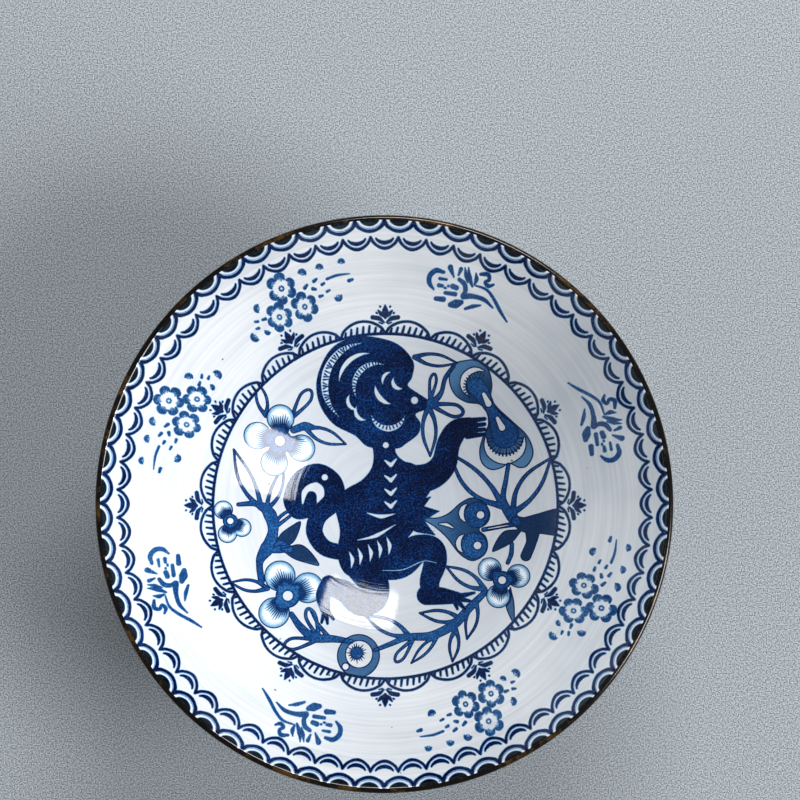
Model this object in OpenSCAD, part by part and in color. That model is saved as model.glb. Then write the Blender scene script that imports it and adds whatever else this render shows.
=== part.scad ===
// Footed tea bowl in blue-and-white porcelain, built up in the layers it is made in:
// the turned body and its foot ring, the glaze coats, the iron-brown dressing on the
// lip, and the cobalt transfers, which sink into the glaze in the firing and lie flush
// with it. Millimetres, +Z up, origin at the centre of the circle the foot stands on.

/* [Bowl wall] */
// Outside diameter over the rim
rim_d = 92; // [88:0.5:98]
// Height from the standing plane to the top of the lip
height = 39; // [38:0.25:41]
// Thickness of the rounded lip
lip_t = 1.2; // [1:0.1:1.6]
// Lean of the wall at the lip, from vertical, in degrees
lip_lean = 30; // [28:0.5:31]
// Radius of the nearly straight upper wall, outside
wall_r_out = 140; // [130:5:160]
// Degrees that the upper wall turns before the round belly takes over, outside
wall_turn = 10; // [9:0.5:11]
// Radius of the upper wall, inside: a smaller one gives a thicker base
wall_r_in = 95; // [90:1:100]
// Height of the inside floor at its centre
floor_z = 7.6; // [7.2:0.1:8.2]

/* [Foot ring] */
// Outside diameter of the foot where it stands
foot_d = 29.2; // [27:0.2:31]
// Outside diameter of the foot where it meets the belly
foot_top_d = 32.6; // [32:0.2:34]
// Inside diameter of the foot ring
foot_bore_d = 24.6; // [23:0.2:25]
// Height of the well's ceiling above the standing plane, bare clay
well_z = 5; // [4.6:0.1:5.4]
// Turned bevel on the two edges that the foot stands on
foot_bevel = 0.4; // [0.2:0.1:0.6]

/* [Glaze] */
// Thickness of the glaze coat
coat_t = 0.3; // [0.24:0.02:0.4]
// Depth to which a fired print sinks into the glaze
print_t = 0.1; // [0.08:0.01:0.12]
// Height above the standing plane at which the glaze was wiped off the foot
glaze_line_z = 0.9; // [0.7:0.1:1.4]

/* [Inside prints] */
// Outer radius of the picture in the bottom of the bowl
picture_r = 28.3; // [26:0.1:28.5]
// Outer radius of the lace border round the picture
lace_r = 30.7; // [30:0.1:30.8]
// Outer radius of the ring of palmettes
palmette_r = 33; // [32:0.1:33.2]
// Number of palmettes
palmette_count = 12; // [8:1:16]
// Inner radius of the sprigs
sprig_r_in = 33.4; // [33.3:0.1:34.5]
// Outer radius of the sprigs
sprig_r_out = 40.4; // [39:0.1:40.6]
// Number of sprigs, taken as blossom and leaf pairs round the wall
sprig_count = 8; // [8:4:8]
// Inner radius of the scale border under the lip
scale_r_in = 40.8; // [40.7:0.1:41.6]

/* [Outside prints] */
// Height of the middle of the banding line between the petals and the stars
band_z = 26.2; // [25:0.1:27]
// Height of each banding line
band_h = 1; // [0.8:0.1:1.2]
// Height of the middle of the banding line over the foot
base_band_z = 8.4; // [8.3:0.1:8.8]

/* [Hidden] */
$fn = 128;

porcelain = [0.93, 0.94, 0.93];
bisque = [0.86, 0.84, 0.79];
glaze_white = [0.90, 0.93, 0.95];
iron_brown = [0.30, 0.19, 0.07];
cobalt_dark = [0.03, 0.08, 0.22];
cobalt_mid = [0.10, 0.25, 0.47];

pocket_gap = 0.05;                   // how far a sprig's pocket runs on out of the glaze
grid = 2;                            // degrees between the points of an arc
lip_steps = 12;
lip_r = lip_t / 2;
lip = [rim_d / 2 - lip_r, height - lip_r];
foot_side_h = well_z + 2;            // height over which the foot's side leans out
blossom_span = 31;                   // degrees that one blossom sprig takes up
leaf_span = 26;                      // degrees that one leaf sprig takes up
palmette_span = 8;                   // degrees that one palmette takes up
palmette_gap = 0.2;

// Outward direction of the section at an angle below horizontal
function out_dir(a) = [cos(a), -sin(a)];
function reverse(list) = [for (i = [len(list) - 1:-1:0]) list[i]];
// The grid's angles from a0 to a1, with both ends
function steps(a0, a1) =
    concat([a0], [for (a = [ceil(a0 / grid) * grid:grid:a1]) if (a > a0 + 0.2 && a < a1 - 0.2) a], [a1]);

// Outside: the upper arc is tangent to the lip, and the belly is a sphere tangent to that arc
out_centre = lip - (wall_r_out - lip_r) * out_dir(lip_lean);
belly_angle = lip_lean + wall_turn;
belly_r = wall_r_out + out_centre[0] / cos(belly_angle);
belly_centre = out_centre + (wall_r_out - belly_r) * out_dir(belly_angle);

// Inside: the same construction, with the sphere's radius found from the floor's height
in_centre = lip - (wall_r_in + lip_r) * out_dir(lip_lean);
in_rise = in_centre[1] - floor_z;
bottom_r = (pow(in_centre[0], 2) + pow(in_rise, 2) - pow(wall_r_in, 2)) / (2 * (in_rise - wall_r_in));
bottom_centre = [0, floor_z + bottom_r];
bottom_angle = atan2(in_centre[1] - bottom_centre[1], -in_centre[0]);

// A point of the outside or the inside surface, at depth t under the glaze's face
function outer_at(a, t) = a < belly_angle
    ? out_centre + (wall_r_out - t) * out_dir(a)
    : belly_centre + (belly_r - t) * out_dir(a);
function inner_at(a, t) = a < bottom_angle
    ? in_centre + (wall_r_in + t) * out_dir(a)
    : bottom_centre + (bottom_r + t) * out_dir(a);

function outer_line(t, a0, a1) = [for (a = steps(a0, a1)) outer_at(a, t)];
function inner_line(t, a0, a1) = [for (a = steps(a0, a1)) inner_at(a, t)];

// The angle at which the outside surface passes a height, and the inside one a radius
function angle_at_z(z) = z > outer_at(belly_angle, 0)[1]
    ? asin((out_centre[1] - z) / wall_r_out)
    : asin((belly_centre[1] - z) / belly_r);
function angle_at_r(r) = r > inner_at(bottom_angle, 0)[0]
    ? acos((r - in_centre[0]) / wall_r_in)
    : acos(r / bottom_r);

// The half-round lip from its outside edge to its inside edge
function lip_line(t) =
    [for (i = [0:lip_steps]) lip + (lip_r - t) * out_dir(lip_lean - 180 * i / lip_steps)];

// The foot's leaning side, and the angle at which the belly meets it
function foot_side(z, t) = foot_d / 2 + coat_t - t + (foot_top_d - foot_d) / 2 * z / foot_side_h;
function foot_point(z, t) = [foot_side(z, t), z];
function foot_hit(t) =
    let (start = foot_point(0, t), run = foot_point(1, t) - start, to = start - belly_centre,
         a = run * run, b = 2 * (run * to), c = to * to - pow(belly_r - t, 2))
    start + run * (-b - sqrt(b * b - 4 * a * c)) / (2 * a);
function angle_of(point) = atan2(belly_centre[1] - point[1], point[0] - belly_centre[0]);

// A layer of the outside or inside coat, between two depths and two angles
module outer_coat(t0, t1, a0, a1) {
    polygon(concat(outer_line(t0, a0, a1), reverse(outer_line(t1, a0, a1))));
}

module inner_coat(t0, t1, a0, a1) {
    polygon(concat(inner_line(t0, a0, a1), reverse(inner_line(t1, a0, a1))));
}

module outer_print(z0, z1) { outer_coat(0, print_t, angle_at_z(z1), angle_at_z(z0)); }

module inner_print(a0, a1) { inner_coat(0, print_t, a0, a1); }

// Separate print patches round the inside wall, each spanning some degrees
module patches(centre_angles, span, r0, r1, t0) {
    for (a = centre_angles)
        rotate(a - span / 2)
            rotate_extrude(angle = span) inner_coat(t0, print_t, angle_at_r(r1), angle_at_r(r0));
}

// The sprigs run two blossom, two leaf and so on, half a step off the axes
sprig_angles = [for (i = [0:sprig_count - 1]) (i + 0.5) * 360 / sprig_count];
blossom_angles = [for (i = [0:sprig_count - 1]) if (floor((i + 2) / 2) % 2 == 0) sprig_angles[i]];
leaf_angles = [for (i = [0:sprig_count - 1]) if (floor((i + 2) / 2) % 2 == 1) sprig_angles[i]];
palmette_angles = [for (i = [0:palmette_count - 1]) i * 360 / palmette_count];

module blossoms(t0) { patches(blossom_angles, blossom_span, sprig_r_in, sprig_r_out, t0); }

module leaves(t0) { patches(leaf_angles, leaf_span, sprig_r_in, sprig_r_out, t0); }

module palmettes(t0) { patches(palmette_angles, palmette_span, lace_r + palmette_gap, palmette_r, t0); }

// Section of the bare wall and floor, from the well's ceiling round the lip to the axis
module body_section() {
    well_angle = asin((belly_centre[1] - well_z) / (belly_r - coat_t));
    polygon(concat(
        [[0, well_z]],
        reverse(outer_line(coat_t, lip_lean, well_angle)),
        lip_line(coat_t),
        inner_line(coat_t, lip_lean, 90)
    ));
}

module bowl_body() { color(porcelain) rotate_extrude() body_section(); }

module foot_ring() {
    bore_r = foot_bore_d / 2;
    color(bisque) rotate_extrude() difference() {
        polygon([
            [bore_r + foot_bevel, 0], [foot_d / 2 - foot_bevel, 0], foot_point(foot_bevel, coat_t),
            foot_point(foot_side_h, coat_t), [bore_r, foot_side_h], [bore_r, foot_bevel]
        ]);
        body_section();
        translate([0, well_z]) square([bore_r + foot_bevel, foot_side_h]);
    }
}

module rim_band() {
    color(iron_brown) rotate_extrude() polygon(concat(lip_line(0), reverse(lip_line(coat_t))));
}

module inner_glaze() {
    lace_angle = angle_at_r(lace_r);
    scale_angle = angle_at_r(scale_r_in);
    color(glaze_white) difference() {
        rotate_extrude() polygon(concat(
            inner_line(print_t, lip_lean, scale_angle),
            inner_line(0, scale_angle, lace_angle),
            inner_line(print_t, lace_angle, 90),
            reverse(inner_line(coat_t, lip_lean, 90))
        ));
        blossoms(-pocket_gap);
        leaves(-pocket_gap);
        palmettes(-pocket_gap);
    }
}

module outer_glaze() {
    base_angle = angle_at_z(base_band_z - band_h / 2);
    hit_out = foot_hit(0);
    hit_in = foot_hit(coat_t);
    color(glaze_white) rotate_extrude() polygon(concat(
        outer_line(print_t, lip_lean, base_angle),
        outer_line(0, base_angle, angle_of(hit_out)),
        [foot_point(glaze_line_z, 0), foot_point(glaze_line_z, coat_t)],
        reverse(outer_line(coat_t, lip_lean, angle_of(hit_in)))
    ));
}

// The glaze on the well's ceiling and on the inner side of the foot ring
module foot_well_glaze() {
    bore_r = foot_bore_d / 2;
    color(glaze_white) rotate_extrude() polygon([
        [0, well_z], [bore_r, well_z], [bore_r, glaze_line_z], [bore_r - coat_t, glaze_line_z],
        [bore_r - coat_t, well_z - coat_t], [0, well_z - coat_t]
    ]);
}

module medallion_print() {
    color(cobalt_dark) rotate_extrude() inner_print(angle_at_r(picture_r), 90);
}

module lace_print() {
    color(cobalt_mid) rotate_extrude() inner_print(angle_at_r(lace_r), angle_at_r(picture_r));
}

module palmette_prints() { color(cobalt_dark) palmettes(0); }

module blossom_prints() { color(cobalt_mid) blossoms(0); }

module leaf_prints() { color(cobalt_mid) leaves(0); }

module rim_scale_print() {
    color(cobalt_dark) rotate_extrude() inner_print(lip_lean, angle_at_r(scale_r_in));
}

module petal_print() {
    color(cobalt_dark) rotate_extrude()
        outer_coat(0, print_t, lip_lean, angle_at_z(band_z + band_h / 2));
}

module star_print() {
    color(cobalt_dark) rotate_extrude() outer_print(base_band_z + band_h / 2, band_z - band_h / 2);
}

module banding_lines() {
    color(cobalt_dark) rotate_extrude() {
        outer_print(band_z - band_h / 2, band_z + band_h / 2);
        outer_print(base_band_z - band_h / 2, base_band_z + band_h / 2);
    }
}

bowl_body();
foot_ring();
rim_band();
inner_glaze();
outer_glaze();
foot_well_glaze();
medallion_print();
lace_print();
palmette_prints();
blossom_prints();
leaf_prints();
rim_scale_print();
petal_print();
star_print();
banding_lines();
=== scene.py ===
"""Footed tea bowl in blue-and-white porcelain: the looks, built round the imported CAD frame.

The printed decoration is drawn here in plan, in millimetres, as distance fields. Each drawing is
outlined, triangulated and dropped on the glazed wall as a thin closed solid, one per transfer and tone.
The glaze coats, the lip and the foot are turned again with finer steps than the CAD mesh has.
"""

import math

import bpy
import numpy as np
from mathutils import Matrix, Vector
from mathutils.geometry import delaunay_2d_cdt


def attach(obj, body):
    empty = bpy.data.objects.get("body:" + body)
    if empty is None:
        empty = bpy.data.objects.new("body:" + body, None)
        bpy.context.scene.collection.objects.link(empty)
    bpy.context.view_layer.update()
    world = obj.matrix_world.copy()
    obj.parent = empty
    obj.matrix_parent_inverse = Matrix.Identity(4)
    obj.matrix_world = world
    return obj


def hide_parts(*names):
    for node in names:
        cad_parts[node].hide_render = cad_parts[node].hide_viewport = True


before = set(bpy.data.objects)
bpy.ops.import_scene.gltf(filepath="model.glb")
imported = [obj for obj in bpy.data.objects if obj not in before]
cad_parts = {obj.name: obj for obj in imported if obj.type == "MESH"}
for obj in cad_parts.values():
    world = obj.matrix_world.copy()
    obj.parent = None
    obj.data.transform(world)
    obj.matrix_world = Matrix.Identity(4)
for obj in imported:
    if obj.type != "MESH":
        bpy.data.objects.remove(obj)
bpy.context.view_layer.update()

MM = 0.001


# ---------------------------------------------------------------- the CAD's sizes, in mm
RIM_D = 92
HEIGHT = 39
LIP_R = 0.6
LIP_LEAN = 30.0
WALL_R_OUT = 140
WALL_R_IN = 95
BELLY_ANGLE = 40.0
FLOOR_Z = 7.6
FOOT_R = 14.6
FOOT_TOP_R = 16.3
FOOT_BORE_R = 12.3
WELL_Z = 5.0
FOOT_SIDE_H = 7.0
COAT_T = 0.3
GLAZE_LINE_Z = 0.9
SPRIG_R = 36.9                              # middle of the ring of sprigs
BAND_Z = (25.7, 26.7)                       # the banding line between petals and stars
BASE_BAND_Z = (7.9, 8.9)                    # the banding line over the foot


def out_dir(degrees):
    a = np.radians(degrees)
    return np.array([np.cos(a), -np.sin(a)])


LIP = np.array([RIM_D / 2 - LIP_R, HEIGHT - LIP_R])
OUT_CENTRE = LIP - (WALL_R_OUT - LIP_R) * out_dir(LIP_LEAN)
BELLY_R = WALL_R_OUT + OUT_CENTRE[0] / math.cos(math.radians(BELLY_ANGLE))
BELLY_CENTRE = OUT_CENTRE + (WALL_R_OUT - BELLY_R) * out_dir(BELLY_ANGLE)
IN_CENTRE = LIP - (WALL_R_IN + LIP_R) * out_dir(LIP_LEAN)
IN_RISE = IN_CENTRE[1] - FLOOR_Z
BOTTOM_R = (IN_CENTRE[0] ** 2 + IN_RISE ** 2 - WALL_R_IN ** 2) / (2 * (IN_RISE - WALL_R_IN))
BOTTOM_CENTRE = np.array([0.0, FLOOR_Z + BOTTOM_R])
BOTTOM_ANGLE = math.degrees(math.atan2(IN_CENTRE[1] - BOTTOM_CENTRE[1], -IN_CENTRE[0]))


class Surface:
    """One face of the glazed wall, turned from an upper and a lower arc that run on into each other."""

    def __init__(self, upper, lower, join, way):
        """An arc is (centre, radius). The join is in degrees below horizontal, and the way out is 1 or -1."""
        self.arcs = (upper, lower)
        self.join, self.way = join, way
        self.join_r = lower[1] * math.cos(math.radians(join))

    def at(self, degrees, depth=0.0):
        """A point of the section, at an angle below horizontal and a depth under the glaze."""
        centre, radius = self.arcs[int(degrees >= self.join)]
        return centre + (radius - self.way * depth) * out_dir(degrees)

    def line(self, a0, a1, depth, steps):
        return [self.at(a, depth) for a in np.linspace(a0, a1, steps)]

    def angle(self, r):
        """The angle in degrees at which the surface passes each radius."""
        r = np.asarray(r, float)
        (centre, upper_r), (_, lower_r) = self.arcs
        upper = np.degrees(np.arccos(np.clip((r - centre[0]) / upper_r, -1, 1)))
        return np.where(r > self.join_r, upper, np.degrees(np.arccos(np.clip(r / lower_r, -1, 1))))


INSIDE = Surface((IN_CENTRE, WALL_R_IN), (BOTTOM_CENTRE, BOTTOM_R), BOTTOM_ANGLE, -1)
OUTSIDE = Surface((OUT_CENTRE, WALL_R_OUT), (BELLY_CENTRE, BELLY_R), BELLY_ANGLE, 1)


def outer_radius(z):
    """The radius of the outside surface at a height."""
    a = math.asin((OUT_CENTRE[1] - z) / WALL_R_OUT)
    if math.degrees(a) < BELLY_ANGLE:
        return OUT_CENTRE[0] + WALL_R_OUT * math.cos(a)
    return BELLY_R * math.cos(math.asin((BELLY_CENTRE[1] - z) / BELLY_R))


LIP_OUTSIDE_R = float(OUTSIDE.at(LIP_LEAN)[0])
LIP_INSIDE_R = float(INSIDE.at(LIP_LEAN)[0])
BROWN_R = 45.2                              # where the brown of the lip ends, on its inner side


# ---------------------------------------------------------------- drawings in plan

FAR = 9.0                                   # mm: what the distance field holds away from any ink
FINE = 0.06                                 # mm: grid of the drawings inside
COARSE = 0.07                               # mm: grid of the drawings outside, whose lines are thicker


def to_segment(x, y, a, b):
    """For each place: the share of the way from a to b that is nearest to it, and its distance from there."""
    run = b - a
    t = np.clip(((x - a[0]) * run[0] + (y - a[1]) * run[1]) / max(float(run @ run), 1e-9), 0, 1)
    return t, np.hypot(x - a[0] - t * run[0], y - a[1] - t * run[1])


class Ink:
    """A flat drawing in plan, in mm, held as the signed distance to its edge: below zero is ink."""

    def __init__(self, half, step):
        self.step = step
        self.count = int(round(2 * half / step)) + 1
        self.low = np.full(2, -float(half))
        self.axis = np.arange(self.count) * step
        self.field = np.full((self.count, self.count), FAR)

    def _window(self, low, high):
        start = np.clip(np.floor((np.array(low) - self.low) / self.step).astype(int) - 2, 0, self.count)
        stop = np.clip(np.ceil((np.array(high) - self.low) / self.step).astype(int) + 3, 0, self.count)
        area = (slice(start[1], stop[1]), slice(start[0], stop[0]))
        x = self.low[0] + self.axis[area[1]]
        y = self.low[1] + self.axis[area[0]]
        return area, *np.meshgrid(x, y)

    def put(self, low, high, distance, cut=False):
        area, x, y = self._window(low, high)
        if x.size == 0:
            return
        found = distance(x, y)
        held = self.field[area]
        self.field[area] = np.maximum(held, -found) if cut else np.minimum(held, found)

    def disc(self, centre, radius, cut=False):
        c = np.array(centre, float)
        self.put(c - radius, c + radius, lambda x, y: np.hypot(x - c[0], y - c[1]) - radius, cut)

    def taper(self, a, b, ra, rb, cut=False):
        """A straight stroke with round ends, of radius ra at a and rb at b."""
        a, b = np.array(a, float), np.array(b, float)

        def distance(x, y):
            t, off = to_segment(x, y, a, b)
            return off - (ra + t * (rb - ra))

        r = max(ra, rb)
        self.put(np.minimum(a, b) - r, np.maximum(a, b) + r, distance, cut)

    def stroke(self, points, widths, cut=False, smooth=True):
        """A brush stroke through the points. The widths are spread evenly along it."""
        line = spline(points) if smooth else np.array(points, float)
        along = np.concatenate([[0], np.cumsum(np.hypot(*np.diff(line, axis=0).T))])
        r = np.interp(along / along[-1], np.linspace(0, 1, len(widths)), np.array(widths, float) / 2)
        for i in range(len(line) - 1):
            self.taper(line[i], line[i + 1], r[i], r[i + 1], cut)

    def area(self, points, smooth=True):
        """The inside of a closed outline."""
        line = spline(points, closed=True) if smooth else np.array(points, float)
        after = np.roll(line, -1, axis=0)

        def distance(x, y):
            near = np.full(x.shape, FAR)
            inside = np.zeros(x.shape, bool)
            for a, b in zip(line, after):
                near = np.minimum(near, to_segment(x, y, a, b)[1])
                if a[1] != b[1]:
                    edge_x = a[0] + (y - a[1]) / (b[1] - a[1]) * (b[0] - a[0])
                    inside ^= ((a[1] > y) != (b[1] > y)) & (x < edge_x)
            return np.where(inside, -near, near)

        self.put(line.min(0), line.max(0), distance)

    def grid(self):
        """The places of all the field's values."""
        return np.meshgrid(self.low[0] + self.axis, self.low[1] + self.axis)

    def keep_inside(self, radius):
        """Cuts away what lies outside a circle round the axis."""
        self.field = np.maximum(self.field, np.hypot(*self.grid()) - radius)

    def without(self, other):
        """Cuts another drawing away."""
        self.field = np.maximum(self.field, -other.field)

    def grown(self, reach):
        """A copy that reaches further out on every side."""
        copy = Ink.__new__(Ink)
        copy.step, copy.count, copy.low, copy.axis = self.step, self.count, self.low, self.axis
        copy.field = self.field - reach
        return copy

    def edge(self, width):
        """A line along the inside of the drawing's edge."""
        line = self.grown(0)
        line.field = np.maximum(self.field, -self.field - width)
        return line

    def at(self, points):
        """The distance at some points, read between the grid's values."""
        p = (np.asarray(points) - self.low) / self.step
        i = np.clip(p.astype(int), 0, self.count - 2)
        f = p - i
        v = self.field
        low = v[i[:, 1], i[:, 0]] * (1 - f[:, 0]) + v[i[:, 1], i[:, 0] + 1] * f[:, 0]
        high = v[i[:, 1] + 1, i[:, 0]] * (1 - f[:, 0]) + v[i[:, 1] + 1, i[:, 0] + 1] * f[:, 0]
        return low * (1 - f[:, 1]) + high * f[:, 1]


def spline(points, closed=False, pieces=8):
    """Points along a smooth curve through the given ones."""
    p = np.array(points, float)
    if len(p) < 3 and not closed:
        return p
    before, after = (p[-1], p[:2]) if closed else (2 * p[0] - p[1], [2 * p[-1] - p[-2]])
    knots = np.vstack([before, p, after])
    t = np.linspace(0, 1, pieces, endpoint=False)[:, None]
    line = []
    for i in range(len(knots) - 3):
        a, b, c, d = knots[i:i + 4]
        line.append(0.5 * (2 * b + (c - a) * t + (2 * a - 5 * b + 4 * c - d) * t ** 2
                           + (3 * b - a - 3 * c + d) * t ** 3))
    return np.vstack(line + ([] if closed else [p[-1:]]))


def polar(radius, degrees):
    a = math.radians(degrees)
    return np.array([radius * math.cos(a), radius * math.sin(a)])


# ---------------------------------------------------------------- the marks a decorator uses

def left_of(run):
    """The direction at right angles to a run, to its left."""
    side = np.array([-run[1], run[0]])
    return side / np.hypot(*side)


def leaf(ink, root, tip, width, line, bend):
    """An open leaf: two curved strokes that meet at the root and at the tip."""
    run = tip - root
    side = left_of(run)
    for s in (1, -1):
        middle = side * (s * (width - line) / 2 + bend)
        ink.stroke([root, root + 0.3 * run + 0.85 * middle, root + 0.62 * run + 0.9 * middle, tip],
                   [1.3 * line, 0.84 * line, 0.74 * line, 0.5 * line])


def drop(ink, root, tip, width, line):
    """An open drop-shaped leaf: pointed at the root and round at the tip."""
    run = tip - root
    side = np.array([-run[1], run[0]])
    side *= (width - line) / 2 / np.hypot(*side)
    path = [root, root + .35 * run + .6 * side, root + .72 * run + side, root + .93 * run + .62 * side, tip,
            root + .93 * run - .62 * side, root + .72 * run - side, root + .35 * run - .6 * side, root]
    ink.stroke(path, [1.15 * line, 0.82 * line, 0.8 * line, 0.82 * line, 1.15 * line])


def crescent(ink, centre, radius, a0, a1, width):
    """Cuts out a crescent along an arc, widest in the middle."""
    line = [np.array(centre) + polar(radius, a) for a in np.linspace(a0, a1, 9)]
    ink.stroke(line, [0.06, 0.75 * width, width, 0.75 * width, 0.06], cut=True)


def comb(ink, centre, radius, a0, a1, length, count, width):
    """Short ticks that point at the centre from an arc, or away from it where the length is negative."""
    for i, a in enumerate(np.linspace(a0, a1, count)):
        reach = length * (0.8 + 0.3 * math.sin(2.6 * i))
        c = np.array(centre, float)
        tip = c + polar(radius - reach, a + 3 * math.sin(1.7 * i))
        ink.taper(c + polar(radius, a), tip, width / 2, 0.04)


def flower(line, ground, shade, centre, radius, angles, weight):
    """A round-petalled flower: thin outlines, a feathered heart with a white eye, and a shaded ground."""
    c = np.array(centre, float)
    petal_r = radius * (0.42 if len(angles) < 4 else 0.38)
    spots = [c + polar(radius - petal_r, a) for a in angles]

    def edge(x, y):
        lobes = [np.hypot(x - p[0], y - p[1]) - petal_r for p in spots]
        return np.minimum.reduce(lobes + [np.hypot(x - c[0], y - c[1]) - 0.33 * radius])

    for ink in (line, ground):
        ink.put(c - radius, c + radius, edge, cut=True)
    line.put(c - radius, c + radius, lambda x, y: np.abs(edge(x, y) + weight / 2) - weight / 2)
    shade.put(c - radius, c + radius, lambda x, y: edge(x, y) + 0.05)
    for i, a in enumerate(angles):
        for k in range(13):
            lean = (k - 6) / 6
            start = c + polar(0.28 * radius, a + 40 * lean)
            reach = radius * (0.73 - 0.17 * lean * lean + 0.06 * math.sin(5.1 * k + 2 * i))
            line.taper(start, c + polar(reach, a + 33 * lean), 0.02 * radius + 0.07, 0.03)
    line.disc(c, 0.31 * radius)
    line.disc(c, 0.13 * radius + 0.1, cut=True)
    shade.disc(c, 0.13 * radius, cut=True)
    return {"centre": c, "spots": spots, "petal_r": petal_r, "radius": radius}


# ---------------------------------------------------------------- the round picture

PICTURE_R = 28.3                            # outer radius of the round picture
LACE_R = 30.7                               # outer radius of the lace


def pic(*points):
    """Points given in shares of the picture's radius, in mm."""
    return np.array(points, float) * PICTURE_R


def spot(u, v):
    """The same for a single point."""
    return pic((u, v))[0]


def monkey(dark):
    """A paper-cut monkey in profile, reaching for the fruit, with the details cut out of the dark."""
    # skull, brow, muzzle and jaw
    dark.area(pic((-.12, .99), (.06, .95), (.16, .85), (.155, .76), (.13, .71), (.19, .665), (.245, .625),
                  (.235, .575), (.175, .545), (.205, .49), (.19, .43), (.12, .375), (.06, .345),
                  (-.10, .355), (-.18, .42), (-.31, .49), (-.39, .61), (-.40, .75), (-.33, .90), (-.23, .97)))
    # neck, chest, back and belly
    dark.area(pic((-.11, .42), (.08, .42), (.055, .335), (.10, .275), (.18, .245), (.27, .15), (.24, .06),
                  (.17, .02), (.13, -.04), (.17, -.12), (.12, -.20), (.09, -.33), (.02, -.40),
                  (-.12, -.425), (-.24, -.39), (-.285, -.27), (-.27, -.14), (-.30, .02), (-.24, .10),
                  (-.14, .16), (-.08, .24), (-.075, .34)))
    # reaching arm and hand
    dark.stroke(pic((.13, .16), (.26, .18), (.34, .25), (.37, .37), (.42, .45), (.49, .47)),
                [4.6, 4.6, 4.3, 3.9, 3.7, 3.0])
    for v in (.513, .482, .452, .424):
        dark.taper(*pic((.48, v - .01), (.58, v)), 0.45, 0.3)
    # raised knee, shin, foot and toes
    dark.stroke(pic((-.06, -.34), (.08, -.33), (.18, -.25), (.27, -.25), (.29, -.33), (.26, -.43),
                    (.26, -.50)), [5, 5.2, 5, 4.4, 4, 3.4, 3])
    dark.stroke(pic((.24, -.52), (.33, -.525), (.42, -.535)), [3.2, 2.8, 1.9])
    for tip in ((.52, -.505), (.50, -.555), (.465, -.60), (.42, -.60)):
        dark.taper(*pic((.40, -.535), tip), 0.6, 0.2)
    # kneeling leg, with its foot hanging behind
    dark.stroke(pic((-.14, -.36), (-.07, -.45), (-.07, -.54), (-.15, -.565), (-.24, -.50), (-.32, -.47)),
                [5, 5, 4.4, 4.2, 3.6, 3.2])
    dark.stroke(pic((-.335, -.45), (-.365, -.52), (-.355, -.60)), [2.6, 2.5, 1.7])
    for tip in ((-.375, -.68), (-.34, -.685), (-.305, -.66)):
        dark.taper(*pic((-.352, -.60), tip), 0.5, 0.2)
    # tail, up and round in a curl
    dark.stroke(pic((-.25, -.27), (-.36, -.24), (-.42, -.15), (-.395, -.05), (-.31, .04), (-.315, .14),
                    (-.40, .20), (-.50, .16), (-.545, .06), (-.52, -.02), (-.455, -.01), (-.44, .06)),
                [2.6, 2.6, 2.7, 2.8, 3.2, 3.4, 3.2, 3, 2.9, 3.2, 2.6, 1.8])
    # the belt's ends, which fly out behind the twin fruit
    for tip, width in (((.315, -.025), 2.6), ((.265, .06), 2.0), ((.29, -.165), 2.4)):
        root = np.array((.10, -.05))
        dark.stroke(pic(root, root * .5 + np.array(tip) * .5, tip), [2.6, width, 0.1])


def monkey_cuts(dark):
    """The white lines and crescents inside the monkey, with their combed edges."""
    nape = spot(-.115, .71)
    crescent(dark, nape, 6.85, 96, 228, 1.4)
    comb(dark, nape, 7.1, 102, 224, 1.15, 32, 0.22)
    crescent(dark, spot(-.10, .72), 4.9, 88, 176, 0.85)
    crescent(dark, spot(-.05, .70), 3.85, 72, 205, 0.95)
    comb(dark, spot(-.05, .70), 4.05, 78, 200, 0.9, 17, 0.22)
    # eye, with a lid over it and a crease under it
    crescent(dark, spot(.035, .735), 1.5, 95, 200, 0.6)
    crescent(dark, spot(.085, .735), 1.2, 150, 290, 0.75)
    crescent(dark, spot(.045, .71), 3.0, 180, 262, 0.9)
    # ear, cheek and nostril
    crescent(dark, spot(-.17, .625), 1.5, 140, 275, 0.7)
    crescent(dark, spot(-.125, .565), 1.5, 150, 280, 0.7)
    crescent(dark, spot(.015, .565), 2.9, 195, 345, 1.05)
    comb(dark, spot(.015, .565), 3.0, 203, 337, 0.95, 12, 0.22)
    dark.disc(spot(.17, .625), 0.62, cut=True)
    # collar dot and chevrons down the chest
    dark.disc(spot(0, .365), 0.52, cut=True)
    for v in (.26, .17, .09, .015):
        dark.stroke(pic((-.005, v + .015), (.03, v - .012), (.062, v + .022)), [0.3, 0.75, 0.3], cut=True,
                    smooth=False)
    # belly folds and the stripes of the hip
    dark.stroke(pic((-.11, -.035), (-.03, -.055), (.055, -.04)), [0.15, 0.75, 0.15], cut=True)
    dark.stroke(pic((-.165, -.195), (-.06, -.17), (.055, -.105)), [0.15, 0.7, 0.15], cut=True)
    for i, u in enumerate((-.215, -.165, -.105, -.05, .005)):
        dark.stroke(pic((u, -.265 + .022 * i), (u + .018, -.31 + .02 * i), (u + .012, -.36 + .02 * i)),
                    [0.15, 0.72, 0.15], cut=True)
    # light side of the tail's curl, and the gap behind the rump
    dark.stroke(pic((-.49, .02), (-.475, .09), (-.425, .125), (-.375, .10)), [0.3, 1.0, 1.0, 0.3], cut=True)
    dark.disc(spot(-.36, .175), 0.55, cut=True)
    # the crease of the thigh
    dark.stroke(pic((-.02, -.375), (.10, -.37), (.22, -.32), (.30, -.33)), [0.1, 0.16, 0.16, 0.1], cut=True)


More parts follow.
